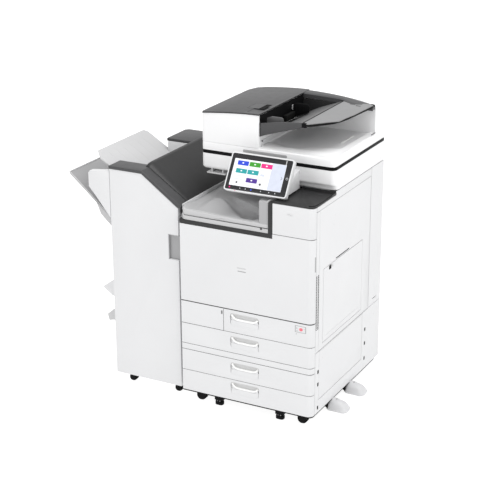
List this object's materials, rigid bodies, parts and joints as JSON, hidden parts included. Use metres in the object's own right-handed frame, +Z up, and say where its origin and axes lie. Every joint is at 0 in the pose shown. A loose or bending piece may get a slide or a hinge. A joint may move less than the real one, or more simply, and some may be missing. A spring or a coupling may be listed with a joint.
{
  "type": "office copier",
  "caption": "Office copier on a paper-feed cabinet, with a sheet feeder, in-body output bay, tilting touch panel and side finisher",
  "frame": {"origin": "middle of the footprint at floor level (bounding-box bottom centre)", "axes": "+X to the right seen from the operator side, from finisher to copier body; +Y from the operator side to the back; +Z up"},
  "size_m": [1.259, 0.685, 1.218],
  "materials": {
    "white_plastic": "satin moulded ABS",
    "dark_plastic": "fine-textured dark grey ABS",
    "light_grey_plastic": "satin moulded ABS",
    "mid_grey_plastic": "satin moulded ABS",
    "steel": "zinc-coated sheet steel",
    "black_plastic": "black nylon",
    "rubber": "black polyurethane tread",
    "glass": "flat clear glass",
    "screen_glass": "gloss black touch panel",
    "pad_foam": "white vinyl-faced foam and carrier plate"
  },
  "bodies": {
    "machine": {"base_frame": "steel", "left_cover": "white_plastic", "rear_cover": "white_plastic", "right_side_covers": "white_plastic", "front_panels": "white_plastic", "work_shelf": "dark_plastic", "exit_trim": "dark_plastic", "exit_tray": "light_grey_plastic", "scanner_housing": "white_plastic", "scanner_top_frame": "dark_plastic", "platen_glass": "glass", "toner_bottles": "mid_grey_plastic", "imaging_unit": "dark_plastic", "fuser_unit": "dark_plastic", "leveling_feet": "black_plastic", "stabilizer_feet": "light_grey_plastic", "power_inlet": "black_plastic", "panel_arm": "white_plastic", "finisher_frame": "steel", "finisher_shell": "white_plastic", "finisher_top_cover": "dark_plastic", "finisher_slant_cover": "dark_plastic", "finisher_upper_tray": "light_grey_plastic"},
    "tray_1": {"tray_1_front": "white_plastic", "tray_1_box": "light_grey_plastic"},
    "tray_2": {"tray_2_front": "white_plastic", "tray_2_box": "light_grey_plastic"},
    "tray_3": {"tray_3_front": "white_plastic", "tray_3_box": "light_grey_plastic"},
    "tray_4": {"tray_4_front": "white_plastic", "tray_4_box": "light_grey_plastic"},
    "front_door": {"front_door": "white_plastic"},
    "right_door": {"right_door": "white_plastic"},
    "bypass_tray": {"bypass_tray": "white_plastic"},
    "lower_right_door": {"lower_right_door": "white_plastic"},
    "feeder": {"feeder_body": "white_plastic", "feeder_input_tray": "dark_plastic", "platen_pad": "pad_foam"},
    "feeder_cover": {"feeder_cover": "dark_plastic"},
    "front_paper_guide": {"front_paper_guide": "mid_grey_plastic"},
    "rear_paper_guide": {"rear_paper_guide": "mid_grey_plastic"},
    "feed_roller": {"feed_roller": "rubber"},
    "panel": {"panel_housing": "white_plastic", "panel_screen": "screen_glass"},
    "power_button": {"power_button": "black_plastic"},
    "scan_carriage": {"scan_carriage": "black_plastic"},
    "stapler": {"stapler_carriage": "black_plastic"},
    "finisher_door": {"finisher_door": "white_plastic"},
    "shift_tray": {"shift_tray": "mid_grey_plastic"},
    "booklet_tray": {"booklet_tray": "light_grey_plastic"},
    "left_caster": {"left_caster_fork": "black_plastic"},
    "left_wheel": {"left_caster_wheel": "rubber"},
    "right_caster": {"right_caster_fork": "black_plastic"},
    "right_wheel": {"right_caster_wheel": "rubber"},
    "rear_wheels": {"rear_wheels": "rubber"},
    "finisher_left_caster": {"finisher_left_fork": "black_plastic"},
    "finisher_left_wheel": {"finisher_left_wheel": "rubber"},
    "finisher_right_caster": {"finisher_right_fork": "black_plastic"},
    "finisher_right_wheel": {"finisher_right_wheel": "rubber"},
    "finisher_rear_wheels": {"finisher_rear_wheels": "rubber"}
  },
  "joints": [
    {"name": "tray_1_slide", "type": "slide", "parent": "machine", "child": "tray_1", "axis": [0, -1, 0], "range_m": [0, 0.38]},
    {"name": "tray_2_slide", "type": "slide", "parent": "machine", "child": "tray_2", "axis": [0, -1, 0], "range_m": [0, 0.38]},
    {"name": "tray_3_slide", "type": "slide", "parent": "machine", "child": "tray_3", "axis": [0, -1, 0], "range_m": [0, 0.38]},
    {"name": "tray_4_slide", "type": "slide", "parent": "machine", "child": "tray_4", "axis": [0, -1, 0], "range_m": [0, 0.38]},
    {"name": "front_door_hinge", "type": "hinge", "parent": "machine", "child": "front_door", "pos_m": [0.2635, -0.3428, 0.4538], "axis": [1, 0, 0], "range_deg": [0, 90]},
    {"name": "right_door_hinge", "type": "hinge", "parent": "machine", "child": "right_door", "pos_m": [0.5573, 0.2122, 0.6], "axis": [0, 0, 1], "range_deg": [0, 85]},
    {"name": "bypass_tray_hinge", "type": "hinge", "parent": "right_door", "child": "bypass_tray", "pos_m": [0.5573, -0.0565, 0.3432], "axis": [0, 1, 0], "range_deg": [0, 72]},
    {"name": "lower_right_door_hinge", "type": "hinge", "parent": "machine", "child": "lower_right_door", "pos_m": [0.5573, 0.1525, 0.21], "axis": [0, 0, 1], "range_deg": [0, 85]},
    {"name": "feeder_hinge", "type": "hinge", "parent": "machine", "child": "feeder", "pos_m": [0.2635, 0.3385, 1.043], "axis": [-1, 0, 0], "range_deg": [0, 62]},
    {"name": "feeder_cover_hinge", "type": "hinge", "parent": "feeder", "child": "feeder_cover", "pos_m": [-0.034, 0.0775, 1.1935], "axis": [0, -1, 0], "range_deg": [0, 75]},
    {"name": "front_guide_slide", "type": "slide", "parent": "feeder", "child": "front_paper_guide", "axis": [0, 1, 0], "range_m": [0, 0.09]},
    {"name": "rear_guide_slide", "type": "slide", "parent": "feeder", "child": "rear_paper_guide", "axis": [0, -1, 0], "range_m": [0, 0.09]},
    {"name": "feed_roller_spin", "type": "hinge", "parent": "feeder", "child": "feed_roller", "pos_m": [0.1735, 0.0875, 1.15], "axis": [0, 1, 0], "continuous": true},
    {"name": "panel_tilt", "type": "hinge", "parent": "machine", "child": "panel", "pos_m": [0.2635, -0.28021, 0.96284], "axis": [-1, 0, 0], "range_deg": [0, 25]},
    {"name": "power_button_press", "type": "slide", "parent": "panel", "child": "power_button", "axis": [0, 0.848, -0.5299], "range_m": [0, 0.0006], "stiffness_N_per_m": 600},
    {"name": "scan_carriage_slide", "type": "slide", "parent": "machine", "child": "scan_carriage", "axis": [1, 0, 0], "range_m": [0, 0.48]},
    {"name": "stapler_slide", "type": "slide", "parent": "machine", "child": "stapler", "axis": [0, 1, 0], "range_m": [0, 0.42]},
    {"name": "finisher_door_hinge", "type": "hinge", "parent": "machine", "child": "finisher_door", "pos_m": [-0.375, -0.323, 0.5], "axis": [0, 0, -1], "range_deg": [0, 95]},
    {"name": "shift_tray_slide", "type": "slide", "parent": "machine", "child": "shift_tray", "axis": [0, 0, -1], "range_m": [0, 0.2]},
    {"name": "booklet_tray_hinge", "type": "hinge", "parent": "machine", "child": "booklet_tray", "pos_m": [-0.378, -0.0425, 0.211], "axis": [0, -1, 0], "range_deg": [0, 30]},
    {"name": "left_caster_swivel", "type": "hinge", "parent": "machine", "child": "left_caster", "pos_m": [0.0485, -0.2985, 0.03], "axis": [0, 0, 1], "continuous": true},
    {"name": "left_wheel_spin", "type": "hinge", "parent": "left_caster", "child": "left_wheel", "pos_m": [0.0335, -0.2985, 0.0225], "axis": [0, 1, 0], "continuous": true},
    {"name": "right_caster_swivel", "type": "hinge", "parent": "machine", "child": "right_caster", "pos_m": [0.5155, -0.2985, 0.03], "axis": [0, 0, 1], "continuous": true},
    {"name": "right_wheel_spin", "type": "hinge", "parent": "right_caster", "child": "right_wheel", "pos_m": [0.5005, -0.2985, 0.0225], "axis": [0, 1, 0], "continuous": true},
    {"name": "finisher_left_caster_swivel", "type": "hinge", "parent": "machine", "child": "finisher_left_caster", "pos_m": [-0.3115, -0.2725, 0.03], "axis": [0, 0, 1], "continuous": true},
    {"name": "finisher_left_wheel_spin", "type": "hinge", "parent": "finisher_left_caster", "child": "finisher_left_wheel", "pos_m": [-0.3195, -0.2725, 0.0175], "axis": [0, 1, 0], "continuous": true},
    {"name": "finisher_right_caster_swivel", "type": "hinge", "parent": "machine", "child": "finisher_right_caster", "pos_m": [-0.0845, -0.2725, 0.03], "axis": [0, 0, 1], "continuous": true},
    {"name": "finisher_right_wheel_spin", "type": "hinge", "parent": "finisher_right_caster", "child": "finisher_right_wheel", "pos_m": [-0.0925, -0.2725, 0.0175], "axis": [0, 1, 0], "continuous": true},
    {"name": "rear_wheels_spin", "type": "hinge", "parent": "machine", "child": "rear_wheels", "pos_m": [0.2635, 0.2575, 0.0245], "axis": [1, 0, 0], "continuous": true},
    {"name": "finisher_rear_wheels_spin", "type": "hinge", "parent": "machine", "child": "finisher_rear_wheels", "pos_m": [-0.2025, 0.2175, 0.0175], "axis": [1, 0, 0], "continuous": true}
  ],
  "couplings": [
    {"joint": "rear_guide_slide", "follows": "front_guide_slide", "ratio": 1}
  ]
}
